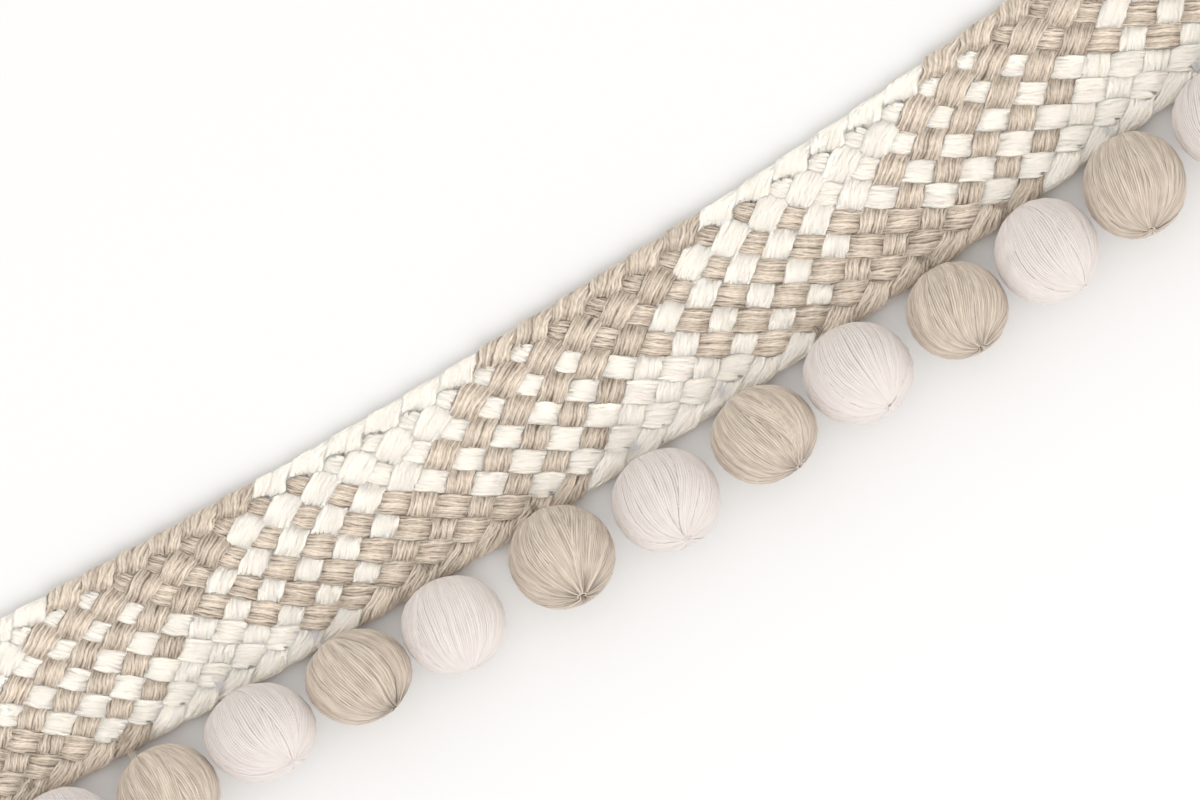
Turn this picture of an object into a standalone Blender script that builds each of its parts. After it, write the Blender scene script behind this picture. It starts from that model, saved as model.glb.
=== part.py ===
# A cut length of flat plaited trim with wound balls tied along its lower edge.
# Metres, +Z up. X runs along the plait, the balls lie on its -Y side, and the whole rests on z = 0.

import math
from collections import namedtuple

import bmesh
import bpy
from mathutils import Matrix, Vector
from mathutils.bvhtree import BVHTree

# Driving dimensions of the plait
TAPE_LENGTH = 0.289
BEND_RADIUS = 1.26  # the plait lies in a gentle arc, with its plain edge on the inside
PLAIT_THICK = 0.0030
GROOVE_HEIGHT = 0.0021  # between the raised cells where one strand lies over another
ROPE_HEIGHT = 0.0028  # of the strands that turn along each edge

# Twelve strands cross in eleven rows, counted from the plain edge down to the edge with the balls
STRANDS = 12
CREAM_STRANDS = 6  # strands 0 to 5 are cream, and 6 to 11 beige
LAST_ROW = 10
MIDDLE_ROW = 5
ROW_REACH = 0.0124  # from the middle row to an outer row, before the rows crowd together there
ROW_CROWDING = 0.00074
ROW_OFFSET = 0.00015
EDGE_ROW = 0.6  # the turn at an edge lies this share of a row past the outer row
EDGE_STEP = 0.0032
EDGE_INSET = 0.0008  # the underside's outline, in from the widest part of the edge
SCALLOP = 0.0003

# A crossing lies this far along, in strands, past a straight column that starts from strand 0
LEAN_MIDDLE = 0.81
LEAN_GAIN_PLAIN_EDGE = 0.46
LEAN_GAIN_BALL_EDGE = 0.29

# The grid of points on the plait's face
COLUMNS_PER_STRAND = 4
STRAIGHTENING_COLUMNS = 10  # over these the lean fades away towards each cut end
LEVEL_GROOVE = 0.00002  # a point within this of the groove's height lies in the groove
COLOUR_STEPS = 10  # for each row, in the search for the strand that shows

# Where each colour block of six strands starts along the plait: the plaiting is tighter on the left
BLOCK_STRANDS = 6
FIRST_BLOCK_STRAND = -18
BLOCK_STARTS = (-0.1626, -0.1273, -0.0920, -0.0567, -0.0169, 0.0233, 0.0644, 0.1059, 0.1474)

# Driving dimensions of the balls
CLEARANCE = 0.0003
FLAT_SPOT_DEPTH = 0.0002
NECK_RADIUS = 0.0007
NECK_ROOT_ANGLE = 11  # degrees from the tie end, as the other angles of the winding are
NECK_SHORTENING = 0.00002  # the steps in which a neck is drawn back until it clears the plait
NAVEL_RADIUS = 0.0010
NAVEL_DEPTH = 0.0008
MERIDIANS = 16
RING_STEP = 22.5
WINDING_TWIST = 30
WINDING_RIDGE = 0.00008
PROFILE_STEP = 5

WIDE_TURN = -31.7  # degrees from the plait round to the way in which the balls are widest

# A row for each ball, from the left: where it lies along the plait and out from the middle line,
# its radius, how much wider than long it is, seen from above, how much its ends are flattened,
# how far its tie end dips and turns, in degrees
Ball = namedtuple("Ball", "along out radius wide flattening dip turn tone")
BALLS = (
    Ball(-0.1360, 0.0205, 0.0081, 1.05, 0.08, 22, 6, "cream"),
    Ball(-0.1190, 0.0201, 0.0079, 1.03, 0.05, 18, -9, "beige"),
    Ball(-0.1019, 0.0206, 0.0080, 1.06, 0.10, 25, 12, "cream"),
    Ball(-0.0854, 0.0221, 0.0079, 1.00, 0.06, 12, 17, "beige"),
    Ball(-0.0689, 0.0203, 0.0081, 1.13, 0.13, 26, 18, "cream"),
    Ball(-0.0521, 0.0201, 0.0078, 1.12, 0.10, 11, 20, "beige"),
    Ball(-0.0359, 0.0204, 0.0078, 1.03, 0.07, 15, -6, "cream"),
    Ball(-0.0169, 0.0199, 0.0080, 1.02, 0.04, 33, -2, "beige"),
    Ball(0.0008, 0.0208, 0.0081, 1.03, 0.07, 30, -3, "cream"),
    Ball(0.0184, 0.0202, 0.0079, 1.08, 0.10, 16, 14, "beige"),
    Ball(0.0351, 0.0202, 0.0081, 1.07, 0.06, 28, 9, "cream"),
    Ball(0.0526, 0.0206, 0.0076, 1.03, 0.05, 25, -2, "beige"),
    Ball(0.0686, 0.0209, 0.0080, 0.99, 0.03, 14, 12, "cream"),
    Ball(0.0850, 0.0204, 0.0080, 0.95, 0.04, 26, -15, "beige"),
    Ball(0.1020, 0.0202, 0.0080, 1.04, 0.06, 20, -12, "cream"),
    Ball(0.1192, 0.0205, 0.0079, 1.06, 0.10, 16, 8, "beige"),
    Ball(0.1361, 0.0203, 0.0081, 1.05, 0.07, 24, -6, "cream"),
)

CREAM_YARN = (0.86, 0.81, 0.74, 1)
BEIGE_YARN = (0.58, 0.49, 0.37, 1)
CREAM_THREAD = (0.80, 0.75, 0.70, 1)
BEIGE_THREAD = (0.55, 0.46, 0.35, 1)
YARN_ROUGHNESS = 0.85
THREAD_ROUGHNESS = 0.6
SHARP_ANGLE = 50


def clear_scene():
    for obj in list(bpy.data.objects):
        bpy.data.objects.remove(obj)


def finish(name, colour, roughness):
    material = bpy.data.materials.new(name)
    material.use_nodes = True
    shader = material.node_tree.nodes["Principled BSDF"]
    shader.inputs["Base Color"].default_value = colour
    shader.inputs["Roughness"].default_value = roughness
    shader.inputs["Metallic"].default_value = 0
    material.diffuse_color = colour
    return material


# Lengths along the plait, where a place may be counted in strands or in metres


def metres_at(strand):
    block = (strand - FIRST_BLOCK_STRAND) / BLOCK_STRANDS
    first = min(max(math.floor(block), 0), len(BLOCK_STARTS) - 2)
    start, end = BLOCK_STARTS[first], BLOCK_STARTS[first + 1]
    return start + (end - start) * (block - first)


def strand_at(metres):
    first = sum(start <= metres for start in BLOCK_STARTS) - 1
    first = min(max(first, 0), len(BLOCK_STARTS) - 2)
    start, end = BLOCK_STARTS[first], BLOCK_STARTS[first + 1]
    return FIRST_BLOCK_STRAND + BLOCK_STRANDS * (first + (metres - start) / (end - start))


# Rows across the plait


def across(row):
    inside = min(max(row, 0), LAST_ROW)
    share = (MIDDLE_ROW - inside) / MIDDLE_ROW
    return ROW_OFFSET + ROW_REACH * share - ROW_CROWDING * share**3 - EDGE_STEP * (row - inside)


def lean(row):
    """How far the crossings of a row lie along the plait, in strands, past those of a straight column."""
    share = (row - MIDDLE_ROW) / MIDDLE_ROW
    gain = LEAN_GAIN_PLAIN_EDGE * share**2 if share < 0 else LEAN_GAIN_BALL_EDGE * share
    return LEAN_MIDDLE + gain


def climbing_offset(row):
    """The strands that climb to the plain edge as they run along +X."""
    return lean(row) - row / 2


def over_strand(crossing_row, climbing):
    """Climbing strands lie over in the even rows, and the falling ones that they cross in the odd rows."""
    strand = climbing if crossing_row % 2 == 0 else climbing - crossing_row - 1
    return strand % STRANDS


def face_at(strand, row):
    """The height of the plait's face at a place, and the number of the strand that shows there."""
    if row < 0 or row > LAST_ROW:
        index = strand - climbing_offset(row)
        off = 2 * abs(index - round(index))
        crown, over = ROPE_HEIGHT, round(index) % STRANDS
    else:
        cells = []
        for crossing_row in {math.floor(row), math.ceil(row)}:
            index = strand - lean(row) + crossing_row / 2
            off = 2 * abs(index - round(index)) + abs(row - crossing_row)
            cells.append((off, over_strand(crossing_row, round(index))))
        off, over = min(cells)
        crown = PLAIT_THICK
    return GROOVE_HEIGHT + (crown - GROOVE_HEIGHT) * math.sqrt(max(0, 1 - off**2)), over


def bent(along, out, height):
    """A place on the straight plait, carried to where the plait's arc puts it."""
    angle = along / BEND_RADIUS
    reach = BEND_RADIUS - out
    return Vector((reach * math.sin(angle), BEND_RADIUS - reach * math.cos(angle), height))


def grid_columns():
    """Places along the plait, in strands: evenly spaced between the cut ends."""
    first = strand_at(-TAPE_LENGTH / 2)
    last = strand_at(TAPE_LENGTH / 2)
    start = math.ceil(COLUMNS_PER_STRAND * first + 0.5)
    stop = math.floor(COLUMNS_PER_STRAND * last - 0.5)
    inner = [step / COLUMNS_PER_STRAND for step in range(start, stop + 1)]
    return [first] + inner + [last]


def grid_rows():
    inner = [half / 2 for half in range(2 * LAST_ROW + 1)]
    half_edge = EDGE_ROW / 2
    return [-EDGE_ROW, -half_edge] + inner + [LAST_ROW + half_edge, LAST_ROW + EDGE_ROW]


def halves_of(corners):
    """Splits a patch of the face along a groove where one crosses it, and else over its higher diagonal."""
    heights = [corner.co.z for corner in corners]
    along_first = max(heights[0], heights[2])
    along_second = max(heights[1], heights[3])
    lowest = min(along_first, along_second)
    if lowest < GROOVE_HEIGHT + LEVEL_GROOVE:
        split_first = along_first < along_second
    else:
        split_first = heights[0] + heights[2] > heights[1] + heights[3]
    return ((0, 1, 2), (0, 2, 3)) if split_first else ((0, 1, 3), (1, 2, 3))


def make_plait(finishes):
    columns = grid_columns()
    rows = grid_rows()
    last = len(columns) - 1
    mesh = bmesh.new()
    face_points = []
    for row in rows:
        line = []
        for number, column in enumerate(columns):
            fade = min(1, min(number, last - number) / STRAIGHTENING_COLUMNS)
            strand = column + (lean(row) - 1) * fade
            out = across(row)
            height, _ = face_at(strand, row)
            if row in (rows[0], rows[-1]):
                outward = 1 if row < 0 else -1
                turn = strand - climbing_offset(round(row)) - 0.5
                out += outward * SCALLOP * math.cos(2 * math.pi * turn)
                height = PLAIT_THICK / 2
            line.append(mesh.verts.new(bent(metres_at(strand), out, height)))
        face_points.append(line)
    sole_points = []
    for row, outward in ((rows[0], 1), (rows[-1], -1)):
        out = across(row) - outward * EDGE_INSET
        sole_points.append([mesh.verts.new(bent(metres_at(column), out, 0)) for column in columns])

    for upper, lower in zip(face_points, face_points[1:]):
        for left in range(last):
            corners = (upper[left], lower[left], lower[left + 1], upper[left + 1])
            for half in halves_of(corners):
                mesh.faces.new([corners[place] for place in half])
    strips = (
        (sole_points[0], face_points[0]),
        (face_points[-1], sole_points[1]),
        (sole_points[1], sole_points[0]),
    )
    for upper, lower in strips:
        for left in range(last):
            mesh.faces.new((upper[left], lower[left], lower[left + 1], upper[left + 1]))
    for end in (0, last):
        loop = [sole_points[0][end]] + [line[end] for line in face_points] + [sole_points[1][end]]
        mesh.faces.new(loop if end else loop[::-1])
    bmesh.ops.recalc_face_normals(mesh, faces=mesh.faces)
    return mesh_object("plait", mesh, finishes, paint=True)


def mesh_object(name, mesh, finishes, paint=False):
    data = bpy.data.meshes.new(name)
    mesh.to_mesh(data)
    mesh.free()
    for material in finishes:
        data.materials.append(material)
    if paint:
        paint_strands(data)
    data.shade_smooth()
    data.set_sharp_from_angle(angle=math.radians(SHARP_ANGLE))
    obj = bpy.data.objects.new(name, data)
    bpy.context.scene.collection.objects.link(obj)
    return obj


def paint_strands(data):
    """Gives each face of the plait the finish of the strand that shows there."""
    first = -math.ceil(EDGE_ROW * COLOUR_STEPS)
    rows = [step / COLOUR_STEPS for step in range(first, LAST_ROW * COLOUR_STEPS - first + 1)]
    for face in data.polygons:
        centre = face.center
        angle = math.atan2(centre.x, BEND_RADIUS - centre.y)
        out = BEND_RADIUS - math.hypot(centre.x, BEND_RADIUS - centre.y)
        row = min(rows, key=lambda place: abs(across(place) - out))
        _, strand = face_at(strand_at(angle * BEND_RADIUS), row)
        face.material_index = 0 if strand < CREAM_STRANDS else 1


# Balls


def ball_radius(ball, angle):
    return ball.radius * (1 - ball.flattening * math.cos(angle) ** 4)


def ball_ring(mesh, ball, degrees, widening):
    """A ring of points round the winding's axis, its angle counted from the tie end."""
    angle = math.radians(degrees)
    points = []
    for number in range(MERIDIANS):
        ridge = WINDING_RIDGE if number % 2 else -WINDING_RIDGE
        reach = ball_radius(ball, angle) + ridge * math.sin(angle)
        around = 2 * math.pi * number / MERIDIANS + math.radians(WINDING_TWIST) * angle / math.pi
        side = reach * math.sin(angle)
        place = Vector((side * math.cos(around), side * math.sin(around), -reach * math.cos(angle)))
        points.append(mesh.verts.new(widening @ place))
    return points


def join_rings(mesh, first, second):
    for number in range(MERIDIANS):
        following = (number + 1) % MERIDIANS
        mesh.faces.new((first[number], first[following], second[following], second[number]))


def winding_frame(ball):
    """The ball's place and direction: its local +Z runs from the tie end to the far end."""
    dip = math.radians(ball.dip)
    turn = math.radians(ball.turn) + ball.along / BEND_RADIUS
    axis = Vector((math.sin(turn) * math.cos(dip), -math.cos(turn) * math.cos(dip), math.sin(dip)))
    turned = axis.to_track_quat("Z", "Y").to_matrix()
    lowest = 0
    for degrees in range(0, 181, PROFILE_STEP):
        angle = math.radians(degrees)
        reach = ball_radius(ball, angle)
        drop = -reach * math.cos(angle) * axis.z - reach * math.sin(angle) * math.cos(dip)
        lowest = min(lowest, drop)
    centre = bent(ball.along, -ball.out, -lowest - FLAT_SPOT_DEPTH)
    return Matrix.Translation(centre) @ turned.to_4x4()


def level_widening(ball, frame):
    """Widens the round winding one way and narrows it the other, both level, in its own directions."""
    wide = math.sqrt(ball.wide)
    towards = Matrix.Rotation(math.radians(WIDE_TURN), 3, "Z")
    widening = towards @ Matrix.Diagonal((wide, 1 / wide, 1)) @ towards.inverted()
    turned = frame.to_3x3()
    return turned.inverted() @ widening @ turned


def neck_tip(ball, frame, widening, plait_faces):
    """The gathered thread of the tie runs from the ball's end down to the plait's edge."""
    pole = frame @ widening.to_4x4() @ Vector((0, 0, -ball_radius(ball, 0)))
    seat, _, _, gap = plait_faces.find_nearest(pole)
    towards = (seat - pole).normalized()
    turned = towards.to_track_quat("Z", "Y").to_matrix()
    reach = gap
    while reach > 0:
        ring = []
        for number in range(MERIDIANS):
            around = 2 * math.pi * number / MERIDIANS
            side = Vector((math.cos(around), math.sin(around), 0)) * NECK_RADIUS
            ring.append(pole + towards * reach + turned @ side)
        if min(plait_faces.find_nearest(point)[3] for point in ring) >= CLEARANCE:
            return ring
        reach -= NECK_SHORTENING
    raise ValueError("the ball lies too near the plait for its tie")


def make_ball(number, ball, plait_faces, finishes):
    frame = winding_frame(ball)
    widening = level_widening(ball, frame)
    mesh = bmesh.new()
    to_local = frame.inverted()
    tip = [to_local @ point for point in neck_tip(ball, frame, widening, plait_faces)]
    start = max(range(MERIDIANS), key=lambda place: tip[place].x)
    order = -1 if cross_turn(tip) < 0 else 1
    tip = [tip[(start + order * step) % MERIDIANS] for step in range(MERIDIANS)]
    steps = round(180 / RING_STEP)
    navel_angle = 180 - math.degrees(math.asin(NAVEL_RADIUS / ball.radius))
    angles = [NECK_ROOT_ANGLE] + [RING_STEP * step for step in range(1, steps)] + [navel_angle]
    rings = [[mesh.verts.new(point) for point in tip]]
    rings += [ball_ring(mesh, ball, degrees, widening) for degrees in angles]
    for first, second in zip(rings, rings[1:]):
        join_rings(mesh, first, second)
    mesh.faces.new(rings[0][::-1])
    bottom = mesh.verts.new(widening @ Vector((0, 0, ball_radius(ball, math.pi) - NAVEL_DEPTH)))
    rim = rings[-1]
    for place in range(MERIDIANS):
        mesh.faces.new((rim[place], rim[(place + 1) % MERIDIANS], bottom))
    flatten_underside(mesh, to_local)
    bmesh.ops.recalc_face_normals(mesh, faces=mesh.faces)
    obj = mesh_object(f"ball_{number:02d}", mesh, [finishes[ball.tone]])
    obj.matrix_world = frame
    return obj


def cross_turn(ring):
    """Which way round a ring of points runs, seen along the winding's axis."""
    total = 0
    for first, second in zip(ring, ring[1:] + ring[:1]):
        total += first.x * second.y - first.y * second.x
    return total


def flatten_underside(mesh, to_local):
    """Takes the ball's underside off level where it rests on the surface."""
    place = to_local @ Vector((0, 0, 0))
    up = to_local.to_3x3() @ Vector((0, 0, 1))
    geometry = list(mesh.verts) + list(mesh.edges) + list(mesh.faces)
    bmesh.ops.bisect_plane(mesh, geom=geometry, plane_co=place, plane_no=up, clear_inner=True)
    rim = [edge for edge in mesh.edges if edge.is_boundary]
    bmesh.ops.contextual_create(mesh, geom=rim)


def centre_over_origin(parts):
    """Hangs every piece on one empty, which sets the whole with its middle over the origin."""
    bpy.context.view_layer.update()
    corners = [part.matrix_world @ point.co for part in parts for point in part.data.vertices]
    base = bpy.data.objects.new("trim", None)
    bpy.context.scene.collection.objects.link(base)
    for part in parts:
        part.parent = base
    for side in (0, 1):
        reach = [corner[side] for corner in corners]
        base.location[side] = -(min(reach) + max(reach)) / 2


def main():
    clear_scene()
    yarns = [
        finish("cream_yarn", CREAM_YARN, YARN_ROUGHNESS),
        finish("beige_yarn", BEIGE_YARN, YARN_ROUGHNESS),
    ]
    threads = {
        "cream": finish("cream_thread", CREAM_THREAD, THREAD_ROUGHNESS),
        "beige": finish("beige_thread", BEIGE_THREAD, THREAD_ROUGHNESS),
    }
    plait = make_plait(yarns)
    whole = bmesh.new()
    whole.from_mesh(plait.data)
    plait_faces = BVHTree.FromBMesh(whole)
    whole.free()
    parts = [plait]
    for number, ball in enumerate(BALLS, start=1):
        parts.append(make_ball(number, ball, plait_faces, threads))
    centre_over_origin(parts)


main()
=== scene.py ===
import math
from collections import namedtuple

import bpy
import numpy as np
from mathutils import Matrix, Vector


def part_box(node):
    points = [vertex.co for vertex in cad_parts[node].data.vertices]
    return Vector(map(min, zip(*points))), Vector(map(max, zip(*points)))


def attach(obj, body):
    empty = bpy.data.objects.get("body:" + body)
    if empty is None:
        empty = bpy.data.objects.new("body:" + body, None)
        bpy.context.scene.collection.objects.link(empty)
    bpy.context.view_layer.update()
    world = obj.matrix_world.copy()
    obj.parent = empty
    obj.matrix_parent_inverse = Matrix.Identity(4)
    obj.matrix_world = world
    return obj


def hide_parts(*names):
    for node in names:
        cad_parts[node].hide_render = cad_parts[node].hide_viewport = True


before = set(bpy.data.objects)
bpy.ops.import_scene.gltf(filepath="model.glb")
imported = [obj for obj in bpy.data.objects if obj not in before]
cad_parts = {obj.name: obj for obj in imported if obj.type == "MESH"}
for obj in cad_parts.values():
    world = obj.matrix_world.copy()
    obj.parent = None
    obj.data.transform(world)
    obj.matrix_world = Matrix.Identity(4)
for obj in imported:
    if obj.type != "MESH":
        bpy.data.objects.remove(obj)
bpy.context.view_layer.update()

# Plaited trim with wound balls, lying face up on a pale table.
# X runs along the plait, the balls are on its -Y side. All sizes are in metres.

# How the twelve strands lie. Places along the plait are counted in strands, places across in rows.
layout = {
    "length": 0.289,
    "bendRadius": 1.26,        # gentle arc, plain edge on the inside
    "thick": 0.0030,
    "strands": 12,
    "creamStrands": 6,         # strands 0 to 5 are cream, the rest beige
    "rounds": 3,               # of every strand, to each side of the middle: more than the length needs
    "lastRow": 10,
    "middleRow": 5,
    "rowReach": 0.0124,
    "rowCrowding": 0.00074,
    "rowOffset": 0.00015,
    "ballEdge": 0.01373,       # middle line to the outermost edge on the ball side
    "leanMiddle": 0.81,
    "leanPlainEdge": 0.46,
    "leanBallEdge": 0.29,
    "blockStrands": 6,
    "firstBlockStrand": -18,
    "blockStarts": (-0.1626, -0.1273, -0.0920, -0.0567, -0.0169, 0.0233, 0.0644, 0.1059, 0.1474),
    "lowest": 0.00001,         # nothing lies lower above the table than this
    "softFloor": 0.00010,      # and what comes this near to that is pressed flatter
}
halfLength = layout["length"] / 2
plaitLow, plaitHigh = (np.array(corner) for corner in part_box("plait"))
shiftX = (plaitLow[0] + plaitHigh[0]) / 2
shiftY = plaitLow[1] + layout["ballEdge"]
anyPhase = (0, 6.3)            # radians: where a wave may start


def metresAt(strand):
    starts = np.array(layout["blockStarts"])
    block = (np.asarray(strand, float) - layout["firstBlockStrand"]) / layout["blockStrands"]
    first = np.clip(np.floor(block).astype(int), 0, len(starts) - 2)
    return starts[first] + (starts[first + 1] - starts[first]) * (block - first)


def acrossAt(row):
    share = (layout["middleRow"] - row) / layout["middleRow"]
    return layout["rowOffset"] + layout["rowReach"] * share - layout["rowCrowding"] * share**3


def leanAt(row):
    # crossings of a row lie this many strands further along than those of a straight column
    share = (row - layout["middleRow"]) / layout["middleRow"]
    gain = layout["leanPlainEdge"] * share**2 if share < 0 else layout["leanBallEdge"] * share
    return layout["leanMiddle"] + gain


def bent(places):
    # carries places on the straight plait (along, out, height) onto its arc
    places = np.asarray(places, float)
    angle = places[..., 0] / layout["bendRadius"]
    reach = layout["bendRadius"] - places[..., 1]
    x = reach * np.sin(angle) + shiftX
    y = layout["bendRadius"] - reach * np.cos(angle) + shiftY
    return np.stack([x, y, places[..., 2]], -1)


def aboveTable(height):
    # presses what would reach below the table softly onto it, so that the lowest stays lowest
    low, soft = layout["lowest"], layout["softFloor"]
    pressed = low + soft * np.exp(np.minimum(height - low - soft, 0) / soft)
    return np.where(height > low + soft, height, pressed)


# Small helpers

def unit(vectors):
    return vectors / np.maximum(np.linalg.norm(vectors, axis=-1, keepdims=True), 1e-12)


def lengthAlong(path):
    # how far along a path each of its points lies
    return np.concatenate([[0], np.cumsum(np.linalg.norm(np.diff(path, axis=0), axis=1))])


def eased(value, start, over):
    # from 0 to 1 while the value goes from the start over this much more
    return np.clip((value - start) / over, 0, 1)


def bell(distance, width):
    # 1 at no distance, and less and less beyond the width
    return np.exp(-((distance / width) ** 2))


def smoothThrough(values, at):
    # a smooth curve through evenly counted values, read at whole and part places
    first = np.clip(np.floor(at).astype(int), 1, len(values) - 3)
    share = (at - first)[:, None] if values.ndim > 1 else at - first
    before, start, end, after = (values[first + step] for step in (-1, 0, 1, 2))
    startSlope = (end - before) / 2
    endSlope = (after - start) / 2
    return (
        (2 * share**3 - 3 * share**2 + 1) * start
        + (share**3 - 2 * share**2 + share) * startSlope
        + (3 * share**2 - 2 * share**3) * end
        + (share**3 - share**2) * endSlope
    )


# Meshes

def addPiece(name, data):
    piece = bpy.data.objects.new(name, data)
    bpy.context.scene.collection.objects.link(piece)
    return piece


def buildMesh(name, points, faces, material, uv, tone):
    # faces is a list of index arrays, each array holding faces of one size
    mesh = bpy.data.meshes.new(name)
    corners = np.concatenate([group.ravel() for group in faces])
    sizes = np.concatenate([np.full(len(group), group.shape[1]) for group in faces])
    mesh.vertices.add(len(points))
    mesh.vertices.foreach_set("co", np.asarray(points, np.float32).ravel())
    mesh.loops.add(len(corners))
    mesh.loops.foreach_set("vertex_index", corners.astype(np.int32))
    mesh.polygons.add(len(sizes))
    mesh.polygons.foreach_set("loop_start", (np.cumsum(sizes) - sizes).astype(np.int32))
    mesh.update(calc_edges=True)
    mesh.validate()
    layer = mesh.uv_layers.new(name="yarnUV")
    layer.uv.foreach_set("vector", np.asarray(uv, np.float32).ravel())
    shades = mesh.attributes.new("tone", "FLOAT", "POINT")
    shades.data.foreach_set("value", np.asarray(tone, np.float32))
    mesh.shade_smooth()
    mesh.materials.append(material)
    return addPiece(name, mesh)


class TubeBatch:
    # collects tubes, one after another, for a single mesh
    def __init__(self):
        self.points = []
        self.quads = []
        self.caps = []
        self.quadUV = []
        self.capUV = []
        self.tones = []
        self.count = 0

    def add(self, rings, tone, startAlong=0.0, firstAround=0, around=1):
        # rings holds the tube's points, ring by ring: (rings, sides, 3)
        # in the UV, U goes once round the tube from firstAround by around, and V is metres along it
        number, sides = rings.shape[:2]
        along = startAlong + lengthAlong(rings.mean(1))
        ring = np.arange(number - 1)[:, None] * sides
        side = np.arange(sides)[None, :]
        nextSide = (side + 1) % sides
        corners = [ring + side, ring + nextSide, ring + sides + nextSide, ring + sides + side]
        self.quads.append(self.count + np.stack(corners, -1).reshape(-1, 4))
        left = np.broadcast_to(firstAround + side / sides * around, (number - 1, sides))
        right = np.broadcast_to(firstAround + (side + 1) / sides * around, (number - 1, sides))
        near = np.broadcast_to(along[:-1, None], (number - 1, sides))
        far = np.broadcast_to(along[1:, None], (number - 1, sides))
        pairs = [(left, near), (right, near), (right, far), (left, far)]
        self.quadUV.append(np.stack([np.stack(pair, -1) for pair in pairs], 2).reshape(-1, 2))
        first = np.arange(sides)[::-1]
        last = np.arange(sides) + (number - 1) * sides
        self.caps.append(self.count + np.stack([first, last]))
        for end in (along[0], along[-1]):
            self.capUV.append(np.tile([[around / 2, end]], (sides, 1)))
        self.points.append(rings.reshape(-1, 3))
        self.tones.append(np.broadcast_to(tone, (number, sides)).ravel())
        self.count += number * sides

    def mesh(self, name, material, place=bent):
        points = place(np.concatenate(self.points))
        faces = [np.concatenate(self.quads), *self.caps]
        uv = np.concatenate(self.quadUV + self.capUV)
        return buildMesh(name, points, faces, material, uv, np.concatenate(self.tones))


def tubeRings(path, radius, sides):
    # rings round a free path, each square to it, with a level side direction where there is one
    path = np.asarray(path, float)
    ahead = unit(np.gradient(path, axis=0))
    nearlyUp = np.array([0.0, 0.0, 1.0]) + 0.01 * ahead[:, [1, 2, 0]]      # never quite along the path
    side = unit(np.cross(ahead, nearlyUp))
    up = np.cross(side, ahead)
    turn = 2 * np.pi * np.arange(sides) / sides
    around = np.cos(turn)[None, :, None] * side[:, None] + np.sin(turn)[None, :, None] * up[:, None]
    return path[:, None] + radius * around


# Materials

def makeShader(name):
    material = bpy.data.materials.new(name)
    material.use_nodes = True
    return material, material.node_tree.nodes["Principled BSDF"]


def addNode(tree, kind, **settings):
    node = tree.nodes.new(kind)
    for key, value in settings.items():
        setattr(node, key, value)
    return node


def mathNode(tree, operation, first, second=None):
    node = addNode(tree, "ShaderNodeMath", operation=operation)
    for place, value in enumerate((first, second)):
        if isinstance(value, bpy.types.NodeSocket):
            tree.links.new(value, node.inputs[place])
        elif value is not None:
            node.inputs[place].default_value = value
    return node.outputs[0]


def meshValues(tree):
    # what the mesh carries: its tone, which holds random tone and painted light and shade, the place round
    # the yarn or thread and the place along it
    tone = addNode(tree, "ShaderNodeAttribute", attribute_name="tone")
    uv = addNode(tree, "ShaderNodeUVMap", uv_map="yarnUV")
    parts = addNode(tree, "ShaderNodeSeparateXYZ")
    tree.links.new(uv.outputs["UV"], parts.inputs[0])
    return tone.outputs["Fac"], parts.outputs["X"], parts.outputs["Y"]


def humps(tree, value, rate):
    # rises from 0 to 1 and falls again, once for every half turn
    return mathNode(tree, "ABSOLUTE", mathNode(tree, "SINE", mathNode(tree, "MULTIPLY", value, rate)))


def stretchedNoise(tree, stretches, detail):
    # noise over up to three values, each one drawn out or closed up by its own scale
    place = addNode(tree, "ShaderNodeCombineXYZ")
    for axis, (value, scale) in enumerate(stretches):
        tree.links.new(mathNode(tree, "MULTIPLY", value, scale), place.inputs[axis])
    noise = addNode(tree, "ShaderNodeTexNoise")
    noise.inputs["Scale"].default_value = 1.0
    noise.inputs["Detail"].default_value = detail
    tree.links.new(place.outputs[0], noise.inputs["Vector"])
    return noise.outputs["Fac"]


def weighed(tree, parts, less):
    # node values, each times its share, added up, less a fixed amount
    total = None
    for value, share in parts:
        part = mathNode(tree, "MULTIPLY", value, share)
        total = part if total is None else mathNode(tree, "ADD", total, part)
    return mathNode(tree, "SUBTRACT", total, less)


def finishSurface(tree, shader, look, colours, shade, height):
    # the shade goes from the dark colour to the light one, and the height gives the fine relief
    mix = addNode(tree, "ShaderNodeMix", data_type="RGBA")
    tree.links.new(shade, mix.inputs["Factor"])
    mix.inputs["A"].default_value = colours[0]
    mix.inputs["B"].default_value = colours[1]
    tree.links.new(mix.outputs["Result"], shader.inputs["Base Color"])
    bump = addNode(tree, "ShaderNodeBump")
    bump.inputs["Strength"].default_value = look["bump"]
    bump.inputs["Distance"].default_value = look["bumpHeight"]
    tree.links.new(height, bump.inputs["Height"])
    tree.links.new(bump.outputs["Normal"], shader.inputs["Normal"])
    shader.inputs["Roughness"].default_value = look["roughness"]
    shader.inputs["Sheen Weight"].default_value = look["sheen"]
    shader.inputs["Specular IOR Level"].default_value = look["specular"]


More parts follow.
